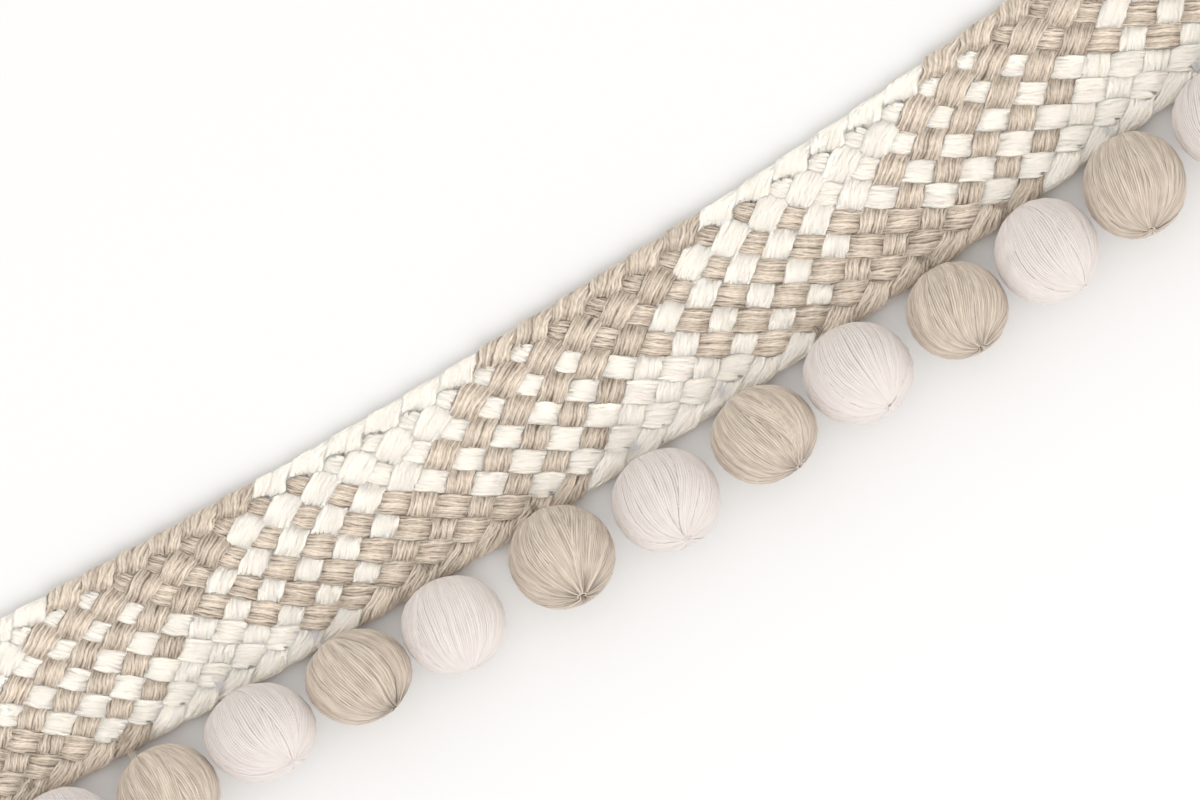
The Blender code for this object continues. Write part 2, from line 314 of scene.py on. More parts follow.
yarnLook = {
    "cream": ((0.77, 0.72, 0.645, 1), (0.82, 0.77, 0.695, 1)),     # dark and light
    "beige": ((0.235, 0.18, 0.13, 1), (0.88, 0.765, 0.64, 1)),
    "creamSoftness": 0.85,     # how much of the light passes through the fibres
    "beigeSoftness": 0.2,
    "softDepth": 0.0016,
    "softTint": (1.0, 0.85, 0.7),
    "plyPitch": 0.0013,        # metres for one turn of the two plies
    "crownSharpness": 2.0,
    "fibresAround": 4.0,       # loose fibres, round a yarn and in a metre of it
    "fibresAlong": 420,
    "fibresByTone": 37.0,      # so that yarns of other tones have other fibres
    "fibreDetail": 2.0,
    # the tone holds each yarn's own random tone, less painted shade on the folds, where it dips under and at
    # the cut ends
    "toneAndShadeShare": 0.20,         # how much each of the next four lightens the yarn
    "fibreShare": 0.55,
    "plyShare": 0.12,
    # painted shade: the yarn's feet, where it meets the next yarn, darker than its crown
    "paintedCrownShare": 0.46,
    "darker": 0.08,            # taken off all of it
    "roughness": 0.9,
    "sheen": 0.25,
    "specular": 0.2,
    "bump": 0.5,
    "bumpHeight": 0.00008,
    "fibreHeight": 0.6,        # of the fibres in the relief, beside the plies
}


def yarnMaterial(name, colours, softness):
    material, shader = makeShader(name)
    tree = material.node_tree
    tone, around, along = meshValues(tree)

    # two plies wind round each other, so light and shade run round the yarn in a helix
    turns = mathNode(tree, "ADD", around, mathNode(tree, "DIVIDE", along, yarnLook["plyPitch"]))
    ply = humps(tree, turns, math.pi)
    # a yarn's crown lies a third of the way round it, and painted shade darkens it at both feet, where it
    # meets the next yarn
    crown = mathNode(tree, "POWER", humps(tree, around, 1.5 * math.pi), yarnLook["crownSharpness"])
    # loose fibres run along the yarn
    stretches = [
        (around, yarnLook["fibresAround"]),
        (along, yarnLook["fibresAlong"]),
        (tone, yarnLook["fibresByTone"]),
    ]
    fibres = stretchedNoise(tree, stretches, yarnLook["fibreDetail"])

    parts = [
        (tone, yarnLook["toneAndShadeShare"]),
        (fibres, yarnLook["fibreShare"]),
        (ply, yarnLook["plyShare"]),
        (crown, yarnLook["paintedCrownShare"]),
    ]
    shade = weighed(tree, parts, yarnLook["darker"])
    height = mathNode(tree, "ADD", ply, mathNode(tree, "MULTIPLY", fibres, yarnLook["fibreHeight"]))
    finishSurface(tree, shader, yarnLook, colours, shade, height)
    shader.subsurface_method = "BURLEY"
    shader.inputs["Subsurface Weight"].default_value = softness
    shader.inputs["Subsurface Radius"].default_value = yarnLook["softTint"]
    shader.inputs["Subsurface Scale"].default_value = yarnLook["softDepth"]
    return material


threadLook = {
    "cream": ((0.51, 0.46, 0.425, 1), (0.74, 0.672, 0.632, 1)),    # dark and light
    "beige": ((0.135, 0.10, 0.07, 1), (0.69, 0.58, 0.475, 1)),
    "tie": ((0.76, 0.745, 0.76, 1), (0.84, 0.83, 0.85, 1)),
    "tieWarm": ((0.55, 0.44, 0.34, 1), (0.66, 0.55, 0.44, 1)),
    "streaksAcross": 2.6,      # in a thread's width, and in a metre of it
    "streaksAlong": 340.0,
    "streakDetail": 1.0,
    "streakShare": 0.95,       # how much each of the next three lightens the thread
    "ownShare": 0.30,
    # painted light and shade: crowns lighter than the grooves and the folds
    "paintedCrownShare": 0.65,
    "darker": 0.435,           # taken off all of it
    "roughness": 0.5,
    "sheen": 0.2,
    "specular": 0.3,
    "bump": 0.35,
    "bumpHeight": 0.00005,
}


def threadMaterial(name, colours):
    # the mesh's tone is painted light and shade: 1 on a thread's crown, less in the grooves beside it and
    # less still in the folds at the far end
    material, shader = makeShader(name)
    tree = material.node_tree
    crown, thread, along = meshValues(tree)

    # each thread has a shade of its own, with fine streaks on it
    ownShade = addNode(tree, "ShaderNodeTexWhiteNoise", noise_dimensions="1D")
    tree.links.new(mathNode(tree, "FLOOR", thread), ownShade.inputs["W"])
    stretches = [(thread, threadLook["streaksAcross"]), (along, threadLook["streaksAlong"])]
    streaks = stretchedNoise(tree, stretches, threadLook["streakDetail"])

    parts = [
        (streaks, threadLook["streakShare"]),
        (ownShade.outputs["Value"], threadLook["ownShare"]),
        (crown, threadLook["paintedCrownShare"]),
    ]
    shade = weighed(tree, parts, threadLook["darker"])
    finishSurface(tree, shader, threadLook, colours, shade, streaks)
    return material


yarns = {
    "cream": yarnMaterial("creamYarn", yarnLook["cream"], yarnLook["creamSoftness"]),
    "beige": yarnMaterial("beigeYarn", yarnLook["beige"], yarnLook["beigeSoftness"]),
}
threads = {
    kind: threadMaterial(f"{kind}Thread", threadLook[kind])
    for kind in ("cream", "beige", "tie", "tieWarm")
}
print("materials made")


# Strands

strandShape = {
    "yarns": 24,
    "creamSpread": 1.30,       # half a yarn's width, in spacings
    "beigeSpread": 1.15,
    "creamRise": 0.36,         # its height, in spacings
    "beigeRise": 0.95,
    "plump": (0.92, 1.08),     # the thinnest yarn and the thickest
    "freshWidth": 0.0033,      # just after a turn at an edge
    "spreadWidth": 0.0045,     # just before the next one
    "climbingWidth": 1.16,     # climbing strands are this much wider than falling ones
    "halfThick": 0.00075,
    "insideWide": 0.82,        # the yarns' feet lie on an outline this much narrower than the strand
    "insideThick": 0.62,
    "squareness": 0.72,        # 1 for an oval bundle, less for one with a flatter top
    "outlineStep": 0.02,       # radians, to see which way the outline runs
    "lift": 0.00070,           # of an over-crossing above the middle of the plait
    "upright": 0.00034,        # how far climbing strands swing aside, to stand more upright at crossings
    "pinch": 0.03,             # how much narrower a strand is where it passes from over to under
    "plainFold": 0.01222,      # middle line of each edge's fold
    "ballFold": -0.01232,
    "plainTurn": (0.36, 0.0042),       # strands along to the middle of the fold, and width there
    "ballTurn": (0.30, 0.0034),
    "tuck": 0.5,               # how much lower the falling strand lies where it first shows
    "edgePull": (0.20, -0.12), # strands by which the last two plain-edge crossings lie back
    "cellSlant": 0.36,         # how far cell ends slant, to lie along the strand that crosses
    "plainTilt": 0.00025,      # trailing side of a strand above its leading side, at the plain edge
    "plainTiltFrom": (0.0098, 0.0012), # this far out, and full after this much more
    "ballTilt": 0.00036,       # outer side of a strand above its inner side, at the ball edge
    "ballTiltFrom": (0.0100, 0.0015),
    "restFrom": 0.0002,        # this near to a fold the strand lies outside
    "restOver": 0.0012,
    "rowSamples": 4,
    "turnSamples": 5,
    "flatness": 0.7,           # under 1, crossings are flatter on top and steeper between
    "rolls": ((0.10, 0.0071), (0.08, 0.0043)),   # radians that the bundle turns, in long waves
    "wander": 0.00007,         # of a yarn in the bundle
    "drifts": (                # how much across, in height and finely across, and in waves how long
        (1, 0.0011, 0.0022),
        (0.5, 0.0011, 0.0022),
        (1.4, 0.00045, 0.0008),
    ),
    "plyShift": 0.01,          # the plies start anywhere along this much
    "endUneven": 0.0003,       # of the yarns at the cut ends
    "heartSides": 12,          # the filling of the bundle at the cut ends
    "heartSamples": 9,
    "heartFill": 0.97,
    "heartTrim": 0.00025,
    # painted shade at the cut ends, where the heart shows
    "heartPaintedTone": -0.6,
    "edgePaintedShade": 0.5,          # painted shade: how much darker a strand is painted on the folds
    "divePaintedShade": 1.7,          # and painted shade where it dips under the next one
    "seed": 12,
}
foldLength = math.pi * strandShape["lift"]
faceWidth = strandShape["plainFold"] - strandShape["ballFold"]
halfRound = faceWidth + foldLength     # over one face of the plait and round one fold
insideTall = strandShape["insideThick"] * strandShape["halfThick"]

# unfolded is the distance round the plait's section: over the face, round the plain edge and along the back
Knot = namedtuple("Knot", "along unfolded side width swing samples")


def strandKnots(number):
    # every place where the strand crosses another or turns at an edge, from left to right
    shape = strandShape
    lastRow = layout["lastRow"]
    rows = range(lastRow + 1)
    knots = []
    reach = layout["rounds"] * layout["strands"]
    for turns, climb in enumerate(range(number - reach, reach, layout["strands"])):
        face = turns * 2 * halfRound
        back = face + 2 * shape["plainFold"] + foldLength
        for row in reversed(rows):
            width = shape["spreadWidth"] + (shape["freshWidth"] - shape["spreadWidth"]) * row / lastRow
            width *= shape["climbingWidth"]
            pull = shape["edgePull"][row] if row < len(shape["edgePull"]) else 0
            place = metresAt(climb + leanAt(row) - row / 2 - pull)
            side = (-1) ** row
            swing = -side * shape["upright"] if row > 1 else 0
            knots.append(Knot(place, face + acrossAt(row), side, width, swing, shape["rowSamples"]))
        place = metresAt(climb + leanAt(0) + shape["plainTurn"][0] - shape["edgePull"][0])
        middle = face + shape["plainFold"] + foldLength / 2
        knots.append(Knot(place, middle, 1, shape["plainTurn"][1], 0, shape["turnSamples"]))
        for row in rows:
            width = shape["freshWidth"] + (shape["spreadWidth"] - shape["freshWidth"]) * row / lastRow
            place = metresAt(climb + leanAt(row) + row / 2 + 1)
            side = (-1) ** row * (shape["tuck"] if row == 1 else 1)
            knots.append(Knot(place, back - acrossAt(row), side, width, 0, shape["rowSamples"]))
        place = metresAt(climb + leanAt(lastRow) + lastRow / 2 + 1 + shape["ballTurn"][0])
        middle = back - shape["ballFold"] + foldLength / 2
        knots.append(Knot(place, middle, 1, shape["ballTurn"][1], 0, shape["turnSamples"]))
    return knots


def folded(along, unfolded, rise):
    # carries places on the unfolded strip, with their rise off its middle,
    # onto the plait's face, folds and back
    plainFold, ballFold = strandShape["plainFold"], strandShape["ballFold"]
    reach = (unfolded - ballFold) % (2 * halfRound)
    backReach = reach - faceWidth - foldLength
    plainAngle = (reach - faceWidth) / strandShape["lift"]
    ballAngle = (backReach - faceWidth) / strandShape["lift"]
    zones = [reach < faceWidth, reach < halfRound, backReach < faceWidth]
    outs = [ballFold + reach, plainFold + rise * np.sin(plainAngle), plainFold - backReach]
    heights = [rise, rise * np.cos(plainAngle), -rise]
    out = np.select(zones, outs, ballFold - rise * np.sin(ballAngle))
    height = np.select(zones, heights, -rise * np.cos(ballAngle))
    return np.stack([along, out, height + layout["thick"] / 2], -1)


def outFrom(unfolded):
    # how far out on the plait an unfolded place lies, from one fold to the other
    reach = (unfolded - strandShape["ballFold"]) % (2 * halfRound)
    reach = np.where(reach < halfRound, reach, 2 * halfRound - foldLength - reach)
    return strandShape["ballFold"] + np.clip(reach, 0, faceWidth)


def halfWaves(share):
    # from 1 to -1 as the share goes from 0 to 1, flatter at both ends than a true wave
    swing = np.cos(np.pi * share)
    return np.sign(swing) * np.abs(swing) ** strandShape["flatness"]


def strandLine(number):
    # the strand's middle line (along, unfolded), the side it is on and its width, at each sample
    knots = strandKnots(number)
    at = np.concatenate([
        place + np.arange(knot.samples) / knot.samples
        for place, knot in enumerate(knots[:-2]) if place > 0
    ])
    plan = smoothThrough(np.array([(knot.along, knot.unfolded) for knot in knots], float), at)
    first = np.floor(at).astype(int)
    share = at - first
    swing = np.array([knot.swing for knot in knots])
    plan[:, 0] += swing[first] * np.sin(np.pi * share)
    side = np.array([knot.side for knot in knots], float)
    middle = (side[first] + side[first + 1]) / 2
    wave = middle + (side[first] - side[first + 1]) / 2 * halfWaves(share)
    width = smoothThrough(np.array([knot.width for knot in knots]), at)
    width = width * (1 - strandShape["pinch"] * np.sin(np.pi * share) ** 2)
    return plan, wave, width


def bundleOutline(angle):
    # where a flattened bundle's outline lies at an angle, for a half width and half thickness of 1
    power = strandShape["squareness"]
    across, above = np.cos(angle), np.sin(angle)
    return np.sign(across) * np.abs(across) ** power, np.sign(above) * np.abs(above) ** power


def ringAngles(count, halfWidth, halfThick):
    # places round the bundle, evenly spaced along its outline, and how far apart they are
    fine = np.linspace(0, 2 * np.pi, 1441)     # every quarter of a degree
    across, above = bundleOutline(fine)
    length = lengthAlong(np.column_stack([halfWidth * across, halfThick * above]))
    return np.interp(np.arange(count) / count * length[-1], length, fine), length[-1] / count


yarnAngles, yarnSpacing = ringAngles(
    strandShape["yarns"], strandShape["insideWide"] * strandShape["spreadWidth"] / 2, insideTall)

# at each sample of a strand: its place on the unfolded strip, the side it is on, how far it has run,
# which way is sideways, the bundle's roll, half its inside width and the spacing of its yarns
Course = namedtuple("Course", "plan wave run sideways roll halfWide spacing")


def strandCourse(number, random):
    plan, wave, width = strandLine(number)
    ahead = unit(np.gradient(plan, axis=0))
    sideways = np.column_stack([-ahead[:, 1], ahead[:, 0]])
    run = lengthAlong(plan)
    roll = sum(
        amount * np.sin(run / length + random.uniform(*anyPhase))
        for amount, length in strandShape["rolls"]
    )
    halfWide = strandShape["insideWide"] * width / 2
    spacing = yarnSpacing * width / strandShape["spreadWidth"]
    return Course(plan, wave, run, sideways, roll, halfWide, spacing)


def onPlait(course, across, above):
    # carries places in the bundle onto the plait, where it passes over and under with the strands that
    # cross it and lies on the folds at the edges, and tells how much painted shade they get for that
    shape = strandShape
    strip = course.plan[:, None] + across[..., None] * course.sideways[:, None]
    out = outFrom(strip[..., 1])
    toFold = np.minimum(shape["plainFold"] - out, out - shape["ballFold"])
    resting = 1 - eased(toFold, shape["restFrom"], shape["restOver"])
    side = np.interp(course.run[:, None] + shape["cellSlant"] * across, course.run, course.wave)
    side += (1 - side) * resting
    atBallEdge = eased(-out, *shape["ballTiltFrom"])
    atPlainEdge = eased(out, *shape["plainTiltFrom"])
    slope = shape["plainTilt"] * atPlainEdge - shape["ballTilt"] * atBallEdge
    rise = shape["lift"] * side + above + slope * across / course.halfWide[:, None]
    paintedShade = shape["edgePaintedShade"] * resting + shape["divePaintedShade"] * (1 - np.abs(side))
    return folded(strip[..., 0], strip[..., 1], rise), paintedShade


def cutToLength(rings, trims):
    # ends every line of points along the strand at the plait's two cuts
    rings = rings.copy()
    samples = np.arange(len(rings))
    inside = []
    for line in range(rings.shape[1]):
        points = rings[:, line].copy()
        ends = np.interp([trims[0] - halfLength, halfLength - trims[1]], points[:, 0], samples)
        inside.append(ends)
        at = np.clip(samples, *ends)
        for axis in range(3):
            rings[:, line, axis] = np.interp(at, samples, points[:, axis])
    rings[..., 2] = aboveTable(rings[..., 2])
    kept = slice(math.floor(np.min(inside)), math.ceil(np.max(inside)) + 1)
    return rings[kept], kept


def addYarn(batch, course, angle, colour, random):
    # one yarn of three sides, with two feet inside the bundle and a crown outside
    shape = strandShape
    plump = random.uniform(*shape["plump"])
    shade = random.uniform(-1, 1)
    swing, heave, quiver = (
        amount * shape["wander"] * np.sin(course.run / random.uniform(low, high) + random.uniform(*anyPhase))
        for amount, low, high in shape["drifts"]
    )
    # the yarn's place in the bundle, and which way is outward there
    across, above = bundleOutline(angle + course.roll)
    nextAcross, nextAbove = bundleOutline(angle + course.roll + shape["outlineStep"])
    step = np.column_stack([(nextAcross - across) * course.halfWide, (nextAbove - above) * insideTall])
    around = unit(step)
    outward = np.column_stack([around[:, 1], -around[:, 0]])
    feet = around * (shape[colour + "Spread"] * plump * course.spacing)[:, None]
    crown = outward * (shape[colour + "Rise"] * plump * course.spacing)[:, None]
    middle = np.column_stack([course.halfWide * across + swing + quiver, insideTall * above + heave])
    corners = middle[:, None] + np.stack([-feet, crown, feet], 1)
    rings, paintedShade = onPlait(course, corners[..., 0], corners[..., 1])
    rings, kept = cutToLength(rings, random.uniform(0, shape["endUneven"], 2))
    # the yarn's own random tone, less painted shade on the folds and where it dips under the next strand
    batch.add(rings, shade - paintedShade[kept], random.uniform(0, shape["plyShift"]))


def addHeart(batch, course):
    # the bundle's heart, which shows only at the cut ends
    shape = strandShape
    across, above = bundleOutline(2 * np.pi * np.arange(shape["heartSides"]) / shape["heartSides"])
    full = shape["heartFill"]
    rings = onPlait(course, full * course.halfWide[:, None] * across, full * insideTall * above)[0]
    rings = cutToLength(rings, (shape["heartTrim"], shape["heartTrim"]))[0]
    for part in (rings[:shape["heartSamples"]], rings[-shape["heartSamples"]:]):
        # painted shade: the heart's low tone makes the cut ends look dark inside
        batch.add(part, shape["heartPaintedTone"])


def makeStrand(number, colour):
    random = np.random.default_rng(strandShape["seed"] + number)
    course = strandCourse(number, random)
    batch = TubeBatch()
    for angle in yarnAngles:
        addYarn(batch, course, angle, colour, random)
    addHeart(batch, course)
    piece = batch.mesh(f"strand_{number + 1:02d}_{colour}", yarns[colour])
    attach(piece, "root")
    return piece


for number in range(layout["strands"]):
    makeStrand(number, "cream" if number < layout["creamStrands"] else "beige")
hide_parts("plait")


# Closed middle layer, where the strands press together between the face and the back, coloured dark as
# painted shadow

core = {
    "halfWidth": 0.0105,
    "low": 0.00138,
    "high": 0.00152,
    "step": 0.004,
    "endGap": 0.0006,          # it ends this far inside the two cuts
    "colours": ((0.30, 0.24, 0.18, 1), (0.50, 0.43, 0.35, 1)),     # dark and light: painted shadow, for it shows only in the gaps between the strands
}


def makeCore():
    reach = halfLength - core["endGap"]
    columns = round(layout["length"] / core["step"])
    corners = [
        (-core["halfWidth"], core["low"]),
        (core["halfWidth"], core["low"]),
        (core["halfWidth"], core["high"]),
        (-core["halfWidth"], core["high"]),
    ]
    along = np.linspace(-reach, reach, columns + 1)
    batch = TubeBatch()
    batch.add(np.array([[(place, out, height) for out, height in corners] for place in along]), 0.0)
    piece = batch.mesh("plait_middle", yarnMaterial("paintedShadowYarn", core["colours"], 0))
    piece.data.shade_flat()
    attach(piece, "root")
    return piece


middleLayer = makeCore()
print("middle layer made")


# Wound balls

# along and out give a ball's middle, wide how much wider it is one way, flattening how much nearer
# its two ends lie, dip and turn the degrees by which its far end points up and aside, tone its thread,
# gather how much painted shade darkens the folds where the threads draw together at the far end, and
# also how deep the hole there is, and curl the radius in metres of the loop of thread that lies there, or 0
Ball = namedtuple("Ball", "along out radius wide flattening dip turn tone gather curl")
balls = (
    Ball(-0.1360, 0.0205, 0.0081, 1.05, 0.08, 22, 6, "cream", 0.3, 0),
    Ball(-0.1190, 0.0201, 0.0079, 1.03, 0.05, 18, -9, "beige", 0.7, 0.0005),
    Ball(-0.1019, 0.0206, 0.0080, 1.06, 0.10, 25, 12, "cream", 0.3, 0.0004),
    Ball(-0.0854, 0.0221, 0.0079, 1.00, 0.06, 12, 17, "beige", 0.8, 0),
    Ball(-0.0689, 0.0203, 0.0081, 1.13, 0.13, 26, 18, "cream", 0.3, 0.0005),
    Ball(-0.0521, 0.0201, 0.0078, 1.12, 0.10, 11, 20, "beige", 1.1, 0),
    Ball(-0.0359, 0.0204, 0.0078, 1.03, 0.07, 15, -6, "cream", 0.3, 0.0005),
    Ball(-0.0169, 0.0199, 0.0080, 1.02, 0.04, 33, -2, "beige", 1.0, 0.0007),
    Ball(0.0008, 0.0208, 0.0081, 1.03, 0.07, 30, -3, "cream", 0.4, 0.0006),
    Ball(0.0184, 0.0202, 0.0079, 1.08, 0.10, 16, 14, "beige", 0.9, 0.0005),
    Ball(0.0351, 0.0202, 0.0081, 1.07, 0.06, 28, 9, "cream", 0.1, 0),
    Ball(0.0526, 0.0206, 0.0076, 1.03, 0.05, 25, -2, "beige", 0.7, 0),
    Ball(0.0686, 0.0209, 0.0080, 0.99, 0.03, 14, 12, "cream", 0.1, 0),
    Ball(0.0850, 0.0204, 0.0080, 0.95, 0.04, 26, -15, "beige", 0.6, 0.0004),
    Ball(0.1020, 0.0202, 0.0080, 1.04, 0.06, 20, -12, "cream", 0.3, 0),
    Ball(0.1192, 0.0205, 0.0079, 1.06, 0.10, 16, 8, "beige", 0.8, 0.0005),
    Ball(0.1361, 0.0203, 0.0081, 1.05, 0.07, 24, -6, "cream", 0.3, 0),
)
winding = {
    "wideTurn": -31.7,         # degrees from the plait round to the way in which the balls are widest
    "flatSpot": 0.0002,
    "twist": 34,               # degrees that the threads wander round between the two ends
    "threads": 126,            # side by side round the ball
    "threadWidth": 0.00058,
    "threadRise": 0.00009,
    "threadSlant": 0.5,        # degrees, for the single thread
    "threadShift": 0.0007,     # between threads that lie side by side, so that their streaks differ
    "unevenRise": 0.00003,
    "bands": 5,                # bands of threads that cross the rest at a small angle
    "bandThreads": 10,
    "bandSlant": (12, 36),     # degrees more, or less, of twist
    "bandUneven": 1,           # degrees, for each thread of a band
    "bandRise": 0.00006,
    "sways": ((0.07, 1, 2.2), (0.015, 4, -3.1)),   # radians, and how fast they go round and along
    "bandSway": (0.05, 1.7, 2),        # radians, how fast it goes along, and its shift from band to band
    "angles": [6, 18, 32, 46, 60, 74, 88, 102, 116, 130, 143, 154, 163, 169.5, 173.5],
    "lastStep": 1.5,           # degrees between the last two places along a thread
    "hole": 0.00032,           # the threads end this far from the middle of the far end
    "crowdUnder": 0.48,        # of the ball's radius: this near to the axis, the threads crowd
    "crowdRise": 0.00011,      # how unevenly high they lie there
    "crowdUneven": 0.2,
    "insideAngles": [4, 12] + list(range(24, 156, 12)) + [160, 168, 172.5, 175.5, 177.5, 178.8],
    "insideSides": 60,
    "insideDepth": 0.00007,
    "insideEase": 3,           # the larger, the nearer to the ends the full depth is kept
    "navelRadius": 0.00050,
    "navelDepth": 0.0012,
    "navelShare": (0.2, 0.8),  # of the depth: on every ball, and by the ball's gather, which also sets the painted shade in its folds
    "rimRadius": 0.0010,
    "rimWidth": 0.0005,
    "rimHeight": 0.00018,
    "gatherFrom": 1.6,         # radians from the tie end
    "gatherReach": 0.0036,     # how far the folds reach from the middle of the far end
    # painted shade in the folds at the far end
    "gatherPaintedShade": 0.8,
    "sunkPaintedShade": 1.6,          # painted shade in the folds darkens the crowns of the threads that lie lower than the rest
    "sunkUnder": (0.88, 0.15), # the height under which they do, and over which share it comes in
    # painted shade: the tone in the grooves beside each crown, and how much more the folds darken it
    "grooveTone": 0.40,
    "groovePaintedShade": (0.4, 1.6),
    # painted shade: the tone of the inside winding, and how much more the folds darken it
    "insidePaintedTone": 0.6,
    "insidePaintedShade": 2,
    "seed": 70,
}
# the loop of the last thread, which lies round the hole on some balls
curl = {
    "turn": (250, 310),        # degrees
    "points": 16,
    "aside": 0.3,              # of its radius, off the middle of the far end
    "lift": 0.00026,           # of its middle line above the ball
    "sink": 0.0004,            # over the hole, and at both its ends
    "sinkReach": 0.0004,
    "thread": 0.00016,
    "sides": 6,
    "tone": 0.45,
    "paintedTopLight": 0.55,          # painted light: how much lighter it is from its middle to its top
    "number": 500,             # far from those of the other threads, for a shade of its own
}


def profile(ball, angle):
    return ball.radius * (1 - ball.flattening * np.cos(angle) ** 4)


def ballFrame(ball):
    # local +Z runs from the tie end to the far end
    dip = math.radians(ball.dip)
    turn = math.radians(ball.turn) + ball.along / layout["bendRadius"]
    axis = Vector((math.sin(turn) * math.cos(dip), -math.cos(turn) * math.cos(dip), math.sin(dip)))
    turned = axis.to_track_quat("Z", "Y").to_matrix()
    angles = np.radians(np.arange(0, 181, 5))
    reach = profile(ball, angles)
    lowest = np.min(-reach * np.cos(angles) * axis.z - reach * np.sin(angles) * math.cos(dip))
    centre = bent([ball.along, -ball.out, -lowest - winding["flatSpot"]])
    # seen from above the ball is wider one way than the other
    wide = math.sqrt(ball.wide)
    towards = Matrix.Rotation(math.radians(winding["wideTurn"]), 3, "Z")
    widening = towards @ Matrix.Diagonal((wide, 1 / wide, 1)) @ towards.inverted()
    return Matrix.Translation(Vector(centre)) @ (widening @ turned).to_4x4()


def inFrame(matrix, points):
    # carries points from a ball's own frame to where it lies, above the table
    turned = np.array(matrix)
    moved = points @ turned[:3, :3].T + turned[:3, 3]
    moved[..., 2] = aboveTable(moved[..., 2])
    return moved


def onBall(ball, angle, around, rise=0.0):
    # points at an angle from the tie end and round the winding, in the ball's own frame
    reach = profile(ball, angle) + rise
    side = reach * np.sin(angle)
    far = -reach * np.cos(angle)
    pit = np.where(far > 0, bell(side, winding["navelRadius"]), 0)
    rim = np.where(far > 0, bell(side - winding["rimRadius"], winding["rimWidth"]), 0)
    least, more = winding["navelShare"]
    depth = winding["navelDepth"] * min(1, least + more * ball.gather)
    far = far - depth * pit + winding["rimHeight"] * rim
    return np.stack(np.broadcast_arrays(side * np.cos(around), side * np.sin(around), far), -1)


def gatherPaintedShadeAt(ball, angle):
    # how much painted shade the folds at the far end put on the threads there
    near = bell(ball.radius * np.sin(angle), winding["gatherReach"])
    return winding["gatherPaintedShade"] * ball.gather * np.where(angle > winding["gatherFrom"], near, 0)


def addInside(batch, ball):
    # the closed winding inside, which shows between the outer threads
    sides = winding["insideSides"]
    angle = np.radians(winding["insideAngles"])[:, None]
    start = 2 * np.pi * np.arange(sides)[None, :] / sides
    depth = -winding["insideDepth"] * np.minimum(1, winding["insideEase"] * np.sin(angle))
    rings = onBall(ball, angle, start + math.radians(winding["twist"]) * angle / np.pi, depth)
    # painted shade: darker than the crowns, and darker still in the folds at the far end
    tone = winding["insidePaintedTone"] - winding["insidePaintedShade"] * gatherPaintedShadeAt(ball, angle)
    batch.add(rings[:, ::-1], tone, around=winding["threads"])


def threadCourses(random):
    # for each thread: where it starts round the ball, its twist, how high it lies and its band's number
    threads = winding["threads"]
    start = 2 * np.pi * np.arange(threads) / threads
    slant = random.normal(0, winding["threadSlant"], threads)
    rise = random.uniform(0, winding["unevenRise"], threads)
    band = np.zeros(threads)
    count = winding["bandThreads"]
    for number in range(1, winding["bands"] + 1):
        first = random.uniform(0, 2 * np.pi)
        start = np.append(start, first + 2 * np.pi * np.arange(count) / threads)
        side = random.choice([-1, 1])
        bandSlant = side * random.uniform(*winding["bandSlant"])
        slant = np.append(slant, bandSlant + random.normal(0, winding["bandUneven"], count))
        rise = np.append(rise, winding["bandRise"] + random.uniform(0, winding["unevenRise"], count))
        band = np.append(band, np.full(count, number))
    return start, np.radians(winding["twist"] + slant), rise, band


def swayOf(begin, angle, band, phases):
    # how far a thread sways aside along its way, with its neighbours and with its band
    sway = sum(
        amount * np.sin(wavesRound * begin + wavesAlong * angle + phase)
        for (amount, wavesRound, wavesAlong), phase in zip(winding["sways"], phases)
    )
    amount, wavesAlong, shift = winding["bandSway"]
    return sway + amount * np.sin(wavesAlong * angle + phases[-1] + shift * band) * (band > 0)


def addThreads(batch, ball, random):
    # each thread has three sides: its two feet lie on the ball and its crown stands above
    lastAngle = 180 - math.degrees(math.asin(winding["hole"] / ball.radius))
    angle = np.radians(winding["angles"] + [lastAngle - winding["lastStep"], lastAngle])
    crowding = 1 - eased(np.sin(angle), 0, winding["crowdUnder"])
    paintedFoldShade = gatherPaintedShadeAt(ball, angle)
    phases = random.uniform(*anyPhase, 5)[:3]      # the last two are drawn but not needed
    starts, twists, rises, bands = threadCourses(random)
    # neighbours, up to three of them, lie equally high where they crowd
    count = len(starts)
    heights = np.repeat(random.uniform(0, 1, count), random.integers(1, 4, count))[:count]
    sunkUnder, sunkOver = winding["sunkUnder"]
    for number, (begin, twist, rise, band) in enumerate(zip(starts, twists, rises, bands)):
        around = begin + twist * (angle / np.pi - 0.5 * (band > 0)) + swayOf(begin, angle, band, phases)
        level = heights[number] + random.uniform(-winding["crowdUneven"], winding["crowdUneven"])
        path = onBall(ball, angle, around, rise + winding["crowdRise"] * (level * crowding))
        ahead = unit(np.gradient(path, axis=0))
        outward = unit(path)
        side = unit(np.cross(ahead, outward)) * winding["threadWidth"] / 2
        rings = np.stack([path + side, path + outward * winding["threadRise"], path - side], 1)
        # painted shade: the grooves darker than the crowns, and lower threads in the folds darker still
        sunk = np.clip((sunkUnder - heights[number]) / sunkOver, 0, 1)
        crown = 1 - winding["sunkPaintedShade"] * paintedFoldShade * sunk
        groove = winding["grooveTone"] - paintedFoldShade * random.uniform(*winding["groovePaintedShade"])
        tone = np.stack([groove, crown, groove], 1)
        batch.add(rings, tone, number * winding["threadShift"], firstAround=number)


